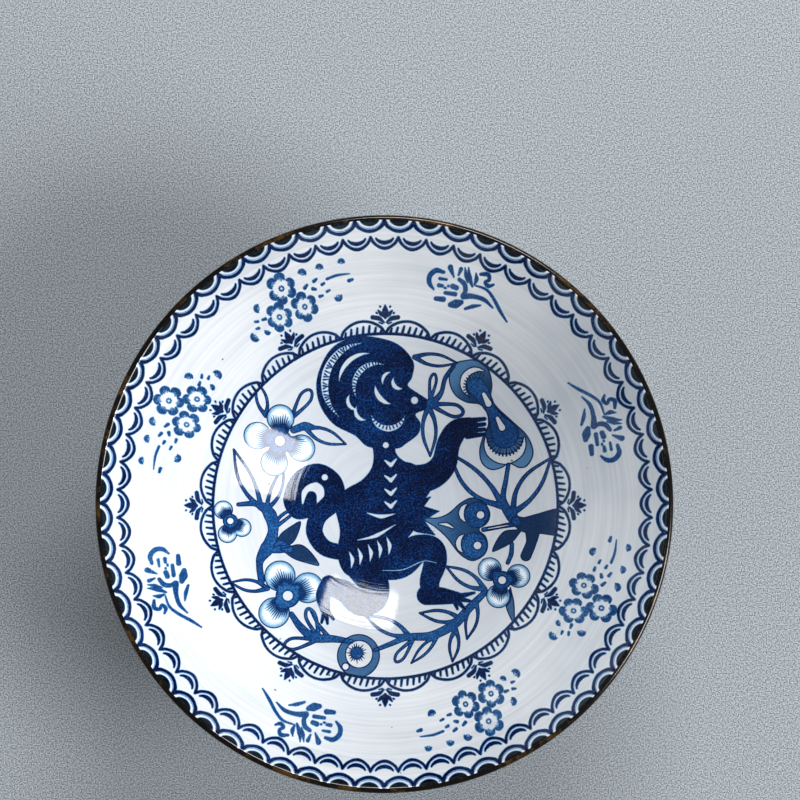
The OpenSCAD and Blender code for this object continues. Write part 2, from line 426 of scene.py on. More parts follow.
def gourd(pale, mid):
    """A double-bulbed gourd that hangs across the upper right."""
    pale.area(pic((.40, .83), (.46, .85), (.53, .85), (.60, .80), (.625, .71), (.62, .64), (.655, .58),
                  (.74, .50), (.83, .41), (.865, .31), (.83, .235), (.78, .225), (.725, .25), (.68, .225),
                  (.62, .215), (.565, .255), (.55, .33), (.57, .41), (.60, .48), (.59, .55), (.55, .595),
                  (.47, .61), (.40, .66), (.37, .75)))
    # the dark core, the light windows round its ends, and their combed edges
    mid.stroke(pic((.53, .70), (.57, .65), (.62, .56), (.665, .48), (.70, .42)), [3.0, 2.4, 1.7, 2.6, 4.6])
    crescent(pale, spot(.535, .715), 2.3, 60, 235, 1.0)
    comb(mid, spot(.535, .70), 2.2, 60, 235, 1.1, 14, 0.24)
    crescent(pale, spot(.70, .39), 3.2, 172, 366, 1.5)
    comb(mid, spot(.70, .40), 2.95, 180, 358, 1.4, 16, 0.3)
    for u, v in ((.575, .655), (.655, .515)):
        for ink in (pale, mid):
            ink.stroke(pic((u, v), (u + .028, v - .055)), [0.55, 1.0], cut=True)
    mid.stroke(pic((.72, .245), (.705, .15), (.69, .05), (.72, -.03)), [0.7, 0.8, 0.95, 1.4])


def twin_fruit(pale, mid):
    """A pair of round fruits on one pale husk, beside the monkey's belt."""
    pale.area(pic((.20, -.06), (.30, -.062), (.37, -.035), (.44, .025), (.51, .055), (.585, .025),
                  (.61, -.045), (.585, -.105), (.552, -.135), (.59, -.175), (.602, -.235), (.575, -.29),
                  (.505, -.32), (.43, -.275), (.36, -.185), (.29, -.12)))
    for u, v in ((.538, -.048), (.52, -.228)):
        mid.disc(spot(u, v), 2.2)
        for ink in (pale, mid):
            crescent(ink, spot(u - .03, v + .01), 1.75, 120, 232, 0.8)
            ink.disc(spot(u + .02, v), 0.62, cut=True)
    pale.stroke(pic((.315, -.10), (.36, -.105), (.40, -.125)), [0.1, 0.5, 0.1], cut=True)
    mid.stroke(pic((.575, -.135), (.66, -.12), (.77, -.10)), [0.8, 0.75, 1.0])
    mid.stroke(pic((.60, -.13), (.66, -.12), (.72, -.11)), [0.1, 0.2, 0.1], cut=True)


def filled_leaf(ink, root, tip, width, bend):
    """A pointed leaf with a blue ground."""
    root, tip = pic(root, tip)
    run = tip - root
    side = left_of(run)
    swell = ((0.15, 0.45), (0.4, 1), (0.7, 0.75))           # shares of the length and of the width
    left = [root + f * run + side * (w * width / 2 + bend * w) for f, w in swell]
    right = [root + f * run - side * (w * width / 2 - bend * w) for f, w in swell[::-1]]
    ink.area([root, *left, tip, *right])


OPEN_LEAVES = (                             # root and tip in the picture, width, line, bend
    ((-.73, -.01), (-.885, .33), 2.9, 0.74, .3),
    ((-.70, -.02), (-.60, .24), 2.3, 0.68, -.3),
    ((-.665, -.13), (-.50, .0), 1.7, 0.74, .35),
    ((-.69, -.48), (-.90, -.445), 2.5, 0.68, 0),
    ((-.70, .53), (-.745, .72), 2.3, 0.64, 0),
    ((-.47, .46), (-.235, .37), 2.9, 0.68, 0),
    ((.14, -.76), (-.12, -.64), 3.0, 0.74, 0),
    ((.44, -.66), (.20, -.625), 2.6, 0.74, 0),
    ((.58, -.485), (.355, -.35), 2.9, 0.74, 0),
    ((.30, -.76), (.15, -.915), 1.9, 0.62, 0),
    ((.41, -.72), (.39, -.905), 2.2, 0.68, 0),
    ((.53, -.56), (.475, -.775), 2.5, 0.68, 0),
    ((.69, .0), (.375, .32), 4.2, 0.9, .5),
    ((.745, -.04), (.965, .28), 4.0, 0.85, .3),
    ((.252, .59), (.262, .30), 3.0, 0.76, 0),
    ((.17, .872), (.42, .835), 2.5, 0.64, 0),
)
DROPS = (                                   # root and tip in the picture, width, line
    ((-.55, .52), (-.44, .68), 2.5, 0.64),
    ((-.39, -.77), (-.455, -.60), 2.3, 0.74),
    ((-.40, -.78), (-.585, -.81), 2.5, 0.68),
    ((.16, -.78), (.06, -.905), 2.0, 0.62),
    ((.262, .63), (.285, .775), 1.7, 0.62),
    ((.265, .60), (.455, .55), 2.7, 0.74),
)
FLOWERS = (                                 # centre in the picture, radius, the petals' directions, line
    ((-.62, .385), 6.0, (88, 168, 255, -18), 0.16),
    ((-.572, -.523), 6.1, (22, 112, 232), 0.16),
    ((-.905, -.087), 3.7, (-30, 122, 258), 0.15),
    ((.682, -.432), 4.7, (15, 138, 256), 0.15),
)


def wreath(mid, pale, shade):
    """Stems, leaves and flowers round the picture. Returns the flowers, for their shading."""
    for root, tip, width, line, bend in OPEN_LEAVES:
        leaf(mid, *pic(root, tip), width, line, bend)
    for root, tip, width, line in DROPS:
        drop(mid, *pic(root, tip), width, line)
    # left: the stem between the flowers, with its two filled leaves
    mid.stroke(pic((-.725, -.44), (-.735, -.32), (-.68, -.22), (-.66, -.12), (-.69, -.03), (-.76, .015),
                   (-.86, .01)), [1.1, 1.1, 2.4, 1.7, 2.2, 1.0, 0.7])
    mid.stroke(pic((-.69, -.24), (-.62, -.235), (-.56, -.25)), [2.0, 2.3, 1.2])
    filled_leaf(pale, (-.66, -.235), (-.50, -.085), 2.5, -0.5)
    filled_leaf(pale, (-.62, -.25), (-.39, -.345), 2.7, 0.7)
    # the twig on the upper flower
    mid.stroke(pic((-.54, .45), (-.47, .475), (-.41, .47)), [1.2, 1.4, 0.3])
    # bottom left: the stem to the round fruit
    mid.stroke(pic((-.55, -.63), (-.50, -.70), (-.42, -.765), (-.30, -.775), (-.20, -.79)),
               [0.9, 1.3, 1.5, 1.2, 0.8])
    mid.stroke(pic((-.33, -.77), (-.40, -.68), (-.44, -.61)), [0.9, 0.6, 0.3])
    # the branch along the bottom
    mid.stroke(pic((-.06, -.84), (.04, -.80), (.13, -.765), (.27, -.755), (.40, -.69), (.49, -.595),
                   (.585, -.50)), [0.7, 0.9, 1.3, 1.45, 1.6, 1.35, 1.0])
    # right: the thick stem from the edge, its filled leaves and the hanging lobe
    mid.stroke(pic((.71, -.02), (.75, -.07), (.79, -.095)), [1.5, 1.9, 0.5])
    pale.stroke(pic((.765, -.085), (.82, -.108), (.92, -.10), (1.0, -.095)), [1.7, 2.9, 3.6, 4.6])
    pale.stroke(pic((.86, -.13), (.852, -.21), (.82, -.29)), [2.6, 1.7, 1.8])
    filled_leaf(pale, (.80, -.135), (.625, -.265), 2.3, -0.4)
    mid.stroke(pic((.74, -.22), (.735, -.28), (.715, -.33)), [0.7, 0.8, 0.7])
    filled_leaf(pale, (.73, -.47), (.75, -.69), 1.5, -0.4)
    # the twig at the mouth
    mid.stroke(pic((.21, .615), (.27, .612), (.325, .665), (.35, .75), (.40, .82)),
               [1.3, 1.2, 0.75, 0.75, 0.7])
    # round fruit at the bottom, with a feathered light window
    c = spot(-.157, -.872)
    pale.disc(c, 3.55)
    pale.disc(c + (0.1, 0.25), 2.15, cut=True)
    mid.disc(c + (-0.3, 0.45), 1.05)
    comb(mid, c + (-0.3, 0.45), 0.95, 0, 345, -0.75, 20, 0.26)
    pale.disc(c + (-2.1, -1.75), 0.5, cut=True)
    return [flower(mid, pale, shade, spot(*centre), radius, petals, weight)
            for centre, radius, petals, weight in FLOWERS]


def picture():
    """The round picture in its tones, as separate drawings."""
    dark, mid, pale, shade, rim = (Ink(LACE_R + 0.8, FINE) for _ in range(5))
    gourd(pale, mid)
    twin_fruit(pale, mid)
    flowers = wreath(mid, pale, shade)
    edges = pale.edge(0.2)
    edges.field = np.minimum(edges.field, mid.edge(0.15).field)
    monkey(dark)
    for ink in (mid, pale, shade, edges):
        ink.without(dark)
    monkey_cuts(dark)
    for ink in (dark, mid, pale, shade, edges):
        ink.keep_inside(PICTURE_R)
    lace(rim)
    return {"dark": dark, "mid": mid, "pale": pale, "shade": shade, "edges": edges, "rim": rim,
            "flowers": flowers}


def lace(ink):
    """The ring line and the scallops that stand on it, each with short ticks."""
    count = 24
    ring = PICTURE_R + 0.1
    for a in np.arange(0, 360, 1.5):
        ink.taper(polar(ring, a), polar(ring, a + 1.5), 0.2, 0.2)
    for i in range(count):
        mid_a = (i + 0.5) * 360 / count
        half = 180 / count
        arc = [polar(ring + (LACE_R - 0.2 - ring) * math.cos(math.radians(t * 90)) ** 0.62,
                     mid_a + half * t) for t in np.linspace(-1, 1, 13)]
        ink.stroke(arc, [0.42, 0.34, 0.42])
        for k in range(7):
            a = mid_a + half * (k - 3) / 3.8
            tall = 1.3 - 0.14 * abs(k - 3) + 0.12 * math.sin(4 * k + i)
            ink.taper(polar(ring, a), polar(ring + tall, a - 0.5), 0.22, 0.15)


# ---------------------------------------------------------------- the borders inside the wall

def around(angle, flip, marks, radius=SPRIG_R):
    """Local marks in mm, along and out from a point of a ring, bent round the bowl."""
    marks = np.asarray(marks, float)
    a = np.radians(angle) + flip * marks[:, 0] / radius
    r = radius + marks[:, 1]
    return np.stack([r * np.cos(a), r * np.sin(a)], 1)


def ring_arc(angle0, angle1, r0, depth, power):
    """A hanging arc from one cusp to the next: it dips towards the axis by the depth."""
    t = np.linspace(-1, 1, 13)
    r = r0 - depth * np.cos(np.radians(90 * t)) ** power
    a = np.radians((angle0 + angle1) / 2 + (angle1 - angle0) / 2 * t)
    return np.stack([r * np.cos(a), r * np.sin(a)], 1)


def scale_border(line, wash, moons):
    """Two rows of overlapping scales under the lip. The numbers are radii, dips and line widths."""
    count = 60
    step = 360 / count
    for i in range(count):
        a = i * step
        line.stroke(ring_arc(a, a + step, 45.0, 1.34, 0.6), [0.6, 0.4, 0.44, 0.4, 0.6])
        wash.stroke(ring_arc(a + 0.5, a + step - 0.5, 44.95, 1.02, 0.6), [0.2, 0.34, 0.2])
        moon = [polar(45.6, a + step - 1.05), polar(45.6, a + 1.05)]
        moons.area(np.vstack([ring_arc(a + 1.05, a + step - 1.05, 45.2, 0.82, 0.6), moon]), smooth=False)
        b = a + step / 2
        line.stroke(ring_arc(b, b + step, 42.75, 1.55, 0.66), [0.42, 0.36, 0.42, 0.36, 0.42])
        wash.stroke(ring_arc(b + 0.5, b + step - 0.5, 42.6, 1.2, 0.66), [0.14, 0.26, 0.14])
        line.stroke(ring_arc(b + 1.15, b + step - 1.15, 42.6, 0.6, 0.66), [0.24, 0.46, 0.54, 0.46, 0.24])


def palmettes(ink):
    """A small bud between two curved leaves, on every second cusp of the lace."""
    for i in range(12):
        a = 30 * i

        def mark(points, widths):
            ink.stroke(around(a, 1, points, LACE_R - 1.2), widths)

        for s in (1, -1):
            mark([(0.2 * s, 0.65), (0.95 * s, 1.25), (2.0 * s, 1.5)], [0.2, 0.66, 0.62])
            mark([(0.45 * s, 0.5), (1.0 * s, 0.65)], [0.24, 0.16])
            mark([(0.15 * s, 1.7), (0.65 * s, 2.0), (1.05 * s, 2.5)], [0.6, 0.6, 0.2])
            mark([(0.72 * s, 3.05), (0.76 * s, 3.1)], [0.26])
            mark([(1.25 * s, 2.1), (1.35 * s, 2.15)], [0.26])
        mark([(0, 1.45), (0, 2.2), (0, 3.3)], [0.5, 1.0, 0.16])


def dashed_blossom(ink, angle, flip, centre, radius, turn):
    """A flower of six thick bent petal strokes, feathered on the inside, round a tiny eye."""
    c = np.array(centre)
    bent = ((-24, .72), (-15, .92), (0, 1.0), (15, .92), (24, .74))       # degrees, share of the radius
    for k in range(6):
        a = turn + 60 * k + 5 * math.sin(3.0 * k + angle)
        petal = [c + polar(radius * pull, a + t) for t, pull in bent]
        weight = 0.54 + 0.12 * math.sin(2.2 * k + flip + angle)
        ink.stroke(around(angle, flip, petal), [0.3, weight, 1.1 * weight, weight, 0.3])
        for t in (-13, -4, 5, 14):
            reach = 0.62 + 0.07 * math.sin(5 * t + k)
            feather = [c + polar(0.9 * radius, a + t), c + polar(reach * radius, a + 0.8 * t)]
            ink.stroke(around(angle, flip, feather), [0.26, 0.05])
    for k in range(4):
        a = turn + 90 * k
        ink.stroke(around(angle, flip, [c + polar(0.33, a), c + polar(0.33, a + 50)]), [0.2])


def bud(ink, angle, flip, x, y, turn, size):
    """A soft bud: a thick short crescent, feathered on its hollow side."""
    c = np.array((x, y))
    arc = [c + polar(0.62 * size, turn + t) for t in (-75, -38, 0, 38, 75)]
    ink.stroke(around(angle, flip, arc), [0.24 * size, 0.5 * size, 0.62 * size, 0.5 * size, 0.24 * size])
    for t in (-60, -20, 20, 60):
        feather = [c + polar(0.5 * size, turn + t), c + polar(0.15 * size, turn + 2 * t)]
        ink.stroke(around(angle, flip, feather), [0.22, 0.05])


def blossom_sprig(ink, angle, flip):
    """Three dashed blossoms, with buds and dashes that trail off on both sides."""
    for centre, radius, turn in (((-4.4, -1.75), 1.98, 0), ((0.3, -2.0), 2.0, 25), ((-2.0, 1.85), 2.04, 12)):
        dashed_blossom(ink, angle, flip, centre, radius, turn)

    def mark(points, widths):
        ink.stroke(around(angle, flip, points), widths)

    for x, y, turn, size in ((-9.6, -2.2, 190, 1.05), (-6.6, 0.9, 150, 0.9), (1.7, 2.6, 60, 0.9),
                             (4.5, 2.6, 75, 0.8), (7.9, 2.7, 80, 0.75), (6.3, -1.9, -80, 0.95),
                             (-7.4, -2.6, 220, 0.7)):
        bud(ink, angle, flip, x, y, turn, size)
    for x, y, dx, dy, w in ((1.4, 0.6, 0.5, 0.3, 0.5), (2.6, 0.1, 0.4, -0.2, 0.5),
                            (3.1, 1.1, 0.5, 0.2, 0.46), (4.2, 0.3, 0.4, 0.1, 0.42),
                            (3.3, -1.3, 0.5, 0.0, 0.42), (4.7, -0.9, 0.5, 0.1, 0.36),
                            (-6.6, -0.9, -0.5, 0.1, 0.46), (-7.9, -0.6, -0.4, 0.2, 0.4),
                            (-8.4, -1.5, -0.4, 0.1, 0.4), (8.6, 0.0, 0.6, 0.1, 0.5)):
        mark([(x, y), (x + dx, y + dy)], [w, 0.7 * w])
    mark([(5.2, 0.9), (6.9, 1.1), (8.9, 1.0)], [0.34, 0.3, 0.1])


def leaf_sprig(ink, angle, flip):
    """A spray of tapered strokes round an open cup, with a long stem that trails the way the flip points."""
    def mark(points, widths):
        ink.stroke(around(angle, flip, points), 0.86 * np.array(widths))

    # the open cup and the dashes in it
    mark([(-5.3, 1.9), (-6.5, 1.9), (-7.3, 1.0), (-7.2, -0.1), (-6.3, -0.9)], [0.5, 0.8, 0.86, 0.8, 0.3])
    for points, widths in (
            ([(-5.7, 0.85), (-4.6, 0.95)], [0.5, 0.36]),
            ([(-5.6, -0.15), (-5.0, -0.1)], [0.66, 0.5]),
            ([(-4.6, -0.3), (-4.4, -0.3)], [0.36, 0.36]),
            ([(-4.1, 0.1), (-4.0, 0.1)], [0.36, 0.36]),
            ([(-3.4, 0.25), (-2.7, 0.2)], [0.86, 0.8]),
            ([(-4.3, -1.0), (-2.6, -0.75)], [0.56, 0.7]),
            ([(-5.6, -2.2), (-4.3, -2.0)], [0.7, 0.9]),
            ([(-3.0, 2.1), (-2.9, 3.0)], [0.3, 0.7]),
            ([(-3.6, 1.6), (-4.5, 2.8)], [0.2, 0.95]),
            ([(-2.9, -2.5), (-2.0, -2.1), (-1.2, -1.6)], [0.8, 1.5, 0.8]),
            ([(-2.7, 1.5), (-1.7, 1.1), (-1.2, 0.2), (-1.5, -0.6)], [0.6, 0.8, 0.8, 0.4])):
        mark(points, widths)
    # two stems, a hook and an S-curl
    mark([(0.0, 1.5), (1.8, 1.6), (3.4, 0.9), (5.4, -0.3), (7.2, -1.1)], [0.2, 0.4, 0.5, 0.52, 0.2])
    mark([(-1.2, -0.6), (0.4, -0.1), (2.2, 0.1), (4.0, -0.4)], [1.1, 0.7, 0.62, 0.2])
    mark([(-0.2, -2.3), (0.9, -1.5), (2.0, -0.9)], [0.4, 0.66, 0.2])
    mark([(0.1, 3.3), (1.1, 3.7), (1.6, 3.1), (1.2, 2.5), (1.9, 2.2), (2.5, 2.7)],
         [0.4, 0.7, 0.6, 0.5, 0.66, 0.3])
    # the feathered leaf on the outer side
    mark([(-0.4, 1.2), (-1.4, 2.4), (-1.9, 3.6)], [0.3, 0.9, 0.1])
    mark([(-0.2, 1.5), (-0.2, 2.4), (-0.6, 3.2)], [0.2, 0.75, 0.1])
    mark([(-1.3, 1.5), (-1.9, 2.4), (-2.4, 3.4)], [0.2, 0.66, 0.1])


def borders():
    scale, wash, moons, palm, bloom, leaves = (Ink(RIM_D / 2, FINE) for _ in range(6))
    scale_border(scale, wash, moons)
    for ink in (scale, wash, moons):
        ink.keep_inside(BROWN_R)
    palmettes(palm)
    for angle, flip in ((112.5, -1), (157.5, 1), (292.5, -1), (337.5, 1)):
        blossom_sprig(bloom, angle, flip)
    for angle, flip in ((22.5, 1), (67.5, -1), (202.5, 1), (247.5, -1)):
        leaf_sprig(leaves, angle, flip)
    return {"scale": scale, "wash": wash, "moons": moons, "palm": palm, "bloom": bloom, "leaves": leaves}


# ---------------------------------------------------------------- the outside

def wall_line(ink, a, b, width):
    """A straight line in plan whose width is true on the leaning wall."""
    a, b = np.array(a, float), np.array(b, float)
    pieces = max(1, int(np.hypot(*(b - a)) / 1.0))
    run = (b - a) / max(np.hypot(*(b - a)), 1e-9)
    points = [a + (b - a) * i / pieces for i in range(pieces + 1)]
    r = []
    for p in points:
        reach = max(np.hypot(*p), 1e-9)
        across = np.array([-run[1], run[0]])
        radial = across @ p / reach
        slope = max(math.sin(math.radians(float(OUTSIDE.angle(reach)))), 0.3)
        r.append(width / 2 / math.sqrt(1 - radial ** 2 + (radial / slope) ** 2))
    for i in range(pieces):
        ink.taper(points[i], points[i + 1], r[i], r[i + 1])


def wall_lines(ink, points, width):
    for a, b in zip(points[:-1], points[1:]):
        wall_line(ink, a, b, width)


def petal_band(ink):
    """Tongues that hang from the lip over pointed arches that stand on the banding line."""
    count, weight = 72, 0.84
    step = 360 / count
    low, high = BAND_Z[1] - 0.3, HEIGHT - 0.7
    tongue = ((.5, 1), (.40, .84), (.22, .65), (0, .48))    # shares of the step and of the band's height
    arch = ((.5, 0), (.46, .17), (.33, .38), (0, .60))

    def at(degrees, share):
        return polar(outer_radius(low + (high - low) * share), degrees)

    for i in range(count):
        a = i * step
        b = a + step / 2
        for s in (1, -1):
            for middle, curve in ((a, tongue), (b, arch)):
                points = [at(middle + s * step * t, h) for t, h in curve]
                wall_lines(ink, spline(points, pieces=4), weight)


def star_lattice(stars):
    """Eight-spoked wheels on a square net, with a small square in the middle of every four.

    The net lies flat on the wall unrolled as three quarters of a disc, so that it closes on itself.
    """
    pitch, corner, width, share = 11.2, 2.5, 0.86, 0.75
    x, y = stars.grid()
    r = np.hypot(x, y)
    heights = np.linspace(BASE_BAND_Z[1] - 1, BAND_Z[0] + 1, 60)
    radii = np.array([outer_radius(z) for z in heights])
    along = np.concatenate([[0], np.cumsum(np.hypot(np.diff(radii), np.diff(heights)))])
    middle = (radii[0] + radii[-1]) / 2
    reach = middle / share + np.interp(r, radii, along) - np.interp(middle, radii, along)
    turn = share * np.arctan2(y, x) + 0.35
    u, v = reach * np.cos(turn), reach * np.sin(turn)
    u, v = np.abs(u - pitch * np.round(u / pitch)), np.abs(v - pitch * np.round(v / pitch))
    u, v = np.maximum(u, v), np.minimum(u, v)
    h = pitch / 2
    hub, side_middle, tip = np.array((0, 0)), np.array((h, 0)), np.array((h, h - corner))
    square_side = np.full(2, h - corner / 2)
    near = np.full(r.shape, FAR)
    for a, b in ((hub, side_middle), (hub, square_side), (side_middle, tip), (tip, square_side)):
        near = np.minimum(near, to_segment(u, v, a, b)[1])
    stars.field = near - width / 2


def outside():
    petals, stars = Ink(RIM_D / 2 + 0.2, COARSE), Ink(40, COARSE)
    petal_band(petals)
    petals.keep_inside(LIP_OUTSIDE_R)
    star_lattice(stars)
    stars.keep_inside(outer_radius(BAND_Z[0]))
    stars.field = np.maximum(stars.field, outer_radius(BASE_BAND_Z[1]) - np.hypot(*stars.grid()))
    return petals, stars


# ---------------------------------------------------------------- from a drawing to a thin solid

CELL_LINKS = {                              # crossed cell edges, ink on the left: bottom, right, top, left
    1: ("BL",), 2: ("RB",), 3: ("RL",), 4: ("TR",), 5: ("BL", "TR"), 6: ("TB",), 7: ("TL",),
    8: ("LT",), 9: ("BT",), 10: ("RB", "LT"), 11: ("RT",), 12: ("LR",), 13: ("BR",), 14: ("LB",),
}
CURVE_TOL = 0.008                           # mm: how far an outline may be straightened
MAX_EDGE = 0.9                              # mm: longest edge of an outline, so that it follows the wall
BURY = 0.04                                 # mm: how deep a print's back lies in the glaze
LIP_STEP = 0.18                             # mm: how fine the print is laid where it climbs the round lip
LIP_LIFT = 2.2                              # times as proud there, so that its flat triangles clear the round
BLEED = 0.09                                # mm: how far the cobalt bleeds past a drawn edge
LIFTS = {"shade": 0.010, "pale": 0.016, "mid": 0.022, "dark": 0.028}      # mm proud of the glaze, by tone


def outlines(ink):
    """The closed outlines of a drawing, as lists of points."""
    f = ink.field
    rows, cols = f.shape
    inside = f < 0
    case = (inside[:-1, :-1] * 1 + inside[:-1, 1:] * 2 + inside[1:, 1:] * 4 + inside[1:, :-1] * 8)
    upright = rows * cols
    link = {}
    for value, pairs in CELL_LINKS.items():
        i, j = np.nonzero(case == value)
        edge = {"B": i * cols + j, "T": (i + 1) * cols + j,
                "L": upright + i * cols + j, "R": upright + i * cols + j + 1}
        for pair in pairs:
            link.update(zip(edge[pair[0]].tolist(), edge[pair[1]].tolist()))
    loops = []
    while link:
        start, after = link.popitem()
        loop = [start]
        while after != start:
            loop.append(after)
            after = link.pop(after)
        loops.append(crossing_points(ink, np.array(loop), upright))
    return loops


def crossing_points(ink, ids, upright):
    """Where the field is zero on each crossed grid edge."""
    cols = ink.count
    tall = ids >= upright
    plain = np.where(tall, ids - upright, ids)
    i, j = plain // cols, plain % cols
    i2, j2 = np.where(tall, i + 1, i), np.where(tall, j, j + 1)
    a, b = ink.field[i, j], ink.field[i2, j2]
    t = a / (a - b)
    return ink.low + ink.step * np.stack([j + t * (j2 - j), i + t * (i2 - i)], 1)


def straightened(loop, longest):
    """The same outline with no more points than it needs, and no edge longer than the longest."""
    count = len(loop)
    far = int(np.argmax(np.hypot(*(loop - loop[0]).T)))
    closed = np.vstack([loop, loop[:1]])
    keep, stack = {0, far}, [(0, far), (far, count)]
    while stack:
        a, b = stack.pop()
        if b - a < 2:
            continue
        run = closed[b] - closed[a]
        size = float(np.hypot(*run))
        rel = closed[a + 1:b] - closed[a]
        off = np.hypot(*rel.T) if size < 1e-6 else np.abs(rel[:, 0] * run[1] - rel[:, 1] * run[0]) / size
        k = int(np.argmax(off))
        if off[k] > CURVE_TOL:
            keep.add(a + 1 + k)
            stack += [(a, a + 1 + k), (a + 1 + k, b)]
        elif size > longest:
            keep.add((a + b) // 2)
            stack += [(a, (a + b) // 2), ((a + b) // 2, b)]
    return closed[sorted(keep)]


def triangulated(ink, spacing):
    """Triangles that fill a drawing, with points inside it on a grid as wide as the spacing."""
    points, edges = [], []
    for loop in outlines(ink):
        if len(loop) < 6:
            continue
        loop = straightened(loop, min(MAX_EDGE, spacing))
        if len(loop) < 3:
            continue
        n = len(points)
        points.extend(loop.tolist())
        edges.extend((n + i, n + (i + 1) % len(loop)) for i in range(len(loop)))
    grid = np.arange(ink.low[0] + spacing / 2, ink.low[0] + ink.axis[-1], spacing)
    x, y = np.meshgrid(grid, grid)
    x[1::2] += spacing / 2
    inner = np.stack([x.ravel(), y.ravel()], 1)
    inner = inner[ink.at(inner) < -0.4 * spacing]
    points.extend(inner.tolist())
    out = delaunay_2d_cdt([Vector(p) for p in points], edges, [], 0, 1e-5, False)
    xy = np.array([tuple(v) for v in out[0]])
    tris = np.array([f for f in out[2] if len(f) == 3])
    tris = tris[ink.at(xy[tris].mean(1)) < 0]
    a, b, c = xy[tris[:, 0]], xy[tris[:, 1]], xy[tris[:, 2]]
    size = (b - a)[:, 0] * (c - a)[:, 1] - (b - a)[:, 1] * (c - a)[:, 0]
    tris[size < 0] = tris[size < 0][:, ::-1]
    tris = tris[np.abs(size) > 1e-9]
    used, tris = np.unique(tris, return_inverse=True)
    return xy[used], tris.reshape(-1, 3)


def on_wall(surface, xy, lift):
    """Points of the plan dropped on a surface, and the surface's normals there."""
    r = np.maximum(np.hypot(*xy.T), 1e-6)
    a = surface.angle(r)
    steep = a < surface.join
    (upper, upper_r), (lower, lower_r) = surface.arcs
    centre_r, centre_z = np.where(steep, upper[0], lower[0]), np.where(steep, upper[1], lower[1])
    way = surface.way
    reach = np.where(steep, upper_r, lower_r) + way * lift
    cos, sin = np.cos(np.radians(a)), np.sin(np.radians(a))
    ring = centre_r + reach * cos
    height = centre_z - reach * sin
    across, rise = way * cos, -way * sin
    if surface is INSIDE:                   # the inner half of the lip is round
        lip = r > LIP_INSIDE_R
        out = np.clip((r - LIP[0]) / LIP_R, -1, 1)
        up = np.sqrt(1 - out ** 2)
        round_r = LIP_R + LIP_LIFT * lift
        ring = np.where(lip, LIP[0] + round_r * out, ring)
        height = np.where(lip, LIP[1] + round_r * up, height)
        across, rise = np.where(lip, out, across), np.where(lip, up, rise)
    unit = xy / r[:, None]
    place = np.column_stack([unit * ring[:, None], height])
    normal = np.column_stack([unit * across[:, None], rise])
    return place, normal


def new_mesh(name, places, faces, normals=None):
    """An object from places in mm. The normals, if given, are one to a corner."""
    mesh = bpy.data.meshes.new(name)
    mesh.from_pydata((places * MM).tolist(), [], faces)
    mesh.update()
    mesh.polygons.foreach_set("use_smooth", np.ones(len(mesh.polygons), bool))
    if normals is not None:
        mesh.normals_split_custom_set(normals.tolist())
    obj = bpy.data.objects.new(name, mesh)
    bpy.context.scene.collection.objects.link(obj)
    return obj


def print_solid(name, ink, tone="dark", surface=INSIDE, spacing=0.8, measure=None):
    """A drawing as a closed solid that stands a hair proud of the glaze."""
    xy, tris = triangulated(ink, spacing)
    n = len(xy)
    top, up = on_wall(surface, xy, LIFTS[tone])
    back, _ = on_wall(surface, xy, -BURY)
    if surface is OUTSIDE:                  # seen from below, plan triangles turn the other way
        tris = tris[:, ::-1]
    edge = np.concatenate([tris[:, [0, 1]], tris[:, [1, 2]], tris[:, [2, 0]]])
    code = edge[:, 0] * n + edge[:, 1]
    rim = edge[~np.isin(code, edge[:, 1] * n + edge[:, 0])]
    sides = np.column_stack([rim[:, 1], rim[:, 0], rim[:, 0] + n, rim[:, 1] + n])
    places = np.vstack([top, back])
    across = places[sides[:, 1]] - places[sides[:, 0]]
    down = places[sides[:, 3]] - places[sides[:, 0]]
    side_up = np.cross(across, down)
    side_up /= np.maximum(np.linalg.norm(side_up, axis=1), 1e-12)[:, None]
    corners = np.vstack([up[tris.ravel()], -up[tris[:, ::-1].ravel()], np.repeat(side_up, 4, axis=0)])
    faces = tris.tolist() + (tris[:, ::-1] + n).tolist() + sides.tolist()
    obj = new_mesh(name, places, faces, corners)
    if measure is not None:
        tone_of = np.clip(measure(xy), 0, 1)
        layer = obj.data.attributes.new("tone", "FLOAT", "POINT")
        layer.data.foreach_set("value", np.concatenate([tone_of, tone_of]).astype(np.float32))
    return obj


def turned_solid(name, section, segments=360):
    """A closed section, as points (radius, height) with the clay on the left, turned round the axis."""
    section = np.array(section, float)
    a = np.linspace(0, 2 * math.pi, segments, endpoint=False)
    places, rings = [], []
    for r, z in section:
        start = len(places)
        if r < 1e-6:
            places.append((0.0, 0.0, z))
            rings.append([start] * segments)
        else:
            places.extend(zip(r * np.cos(a), r * np.sin(a), np.full(segments, z)))
            rings.append(list(range(start, start + segments)))
    faces = []
    for k in range(len(rings)):
        low, high = rings[k], rings[(k + 1) % len(rings)]
        if low[0] == low[1] and high[0] == high[1]:
            continue                        # the axis itself
        for i in range(segments):
            j = (i + 1) % segments
            face = [low[i], low[j], high[j], high[i]]
            faces.append(list(dict.fromkeys(face)))
    obj = new_mesh(name, np.array(places), faces)
    obj.data.set_sharp_from_angle(angle=math.radians(35))
    return obj


# ---------------------------------------------------------------- materials

def srgb(r, g, b):
    """A colour given in 0 to 255 as linear light."""
    def linear(v):
        return ((v / 255 + 0.055) / 1.055) ** 2.4 if v > 10.3 else v / 255 / 12.92
    return (linear(r), linear(g), linear(b), 1.0)


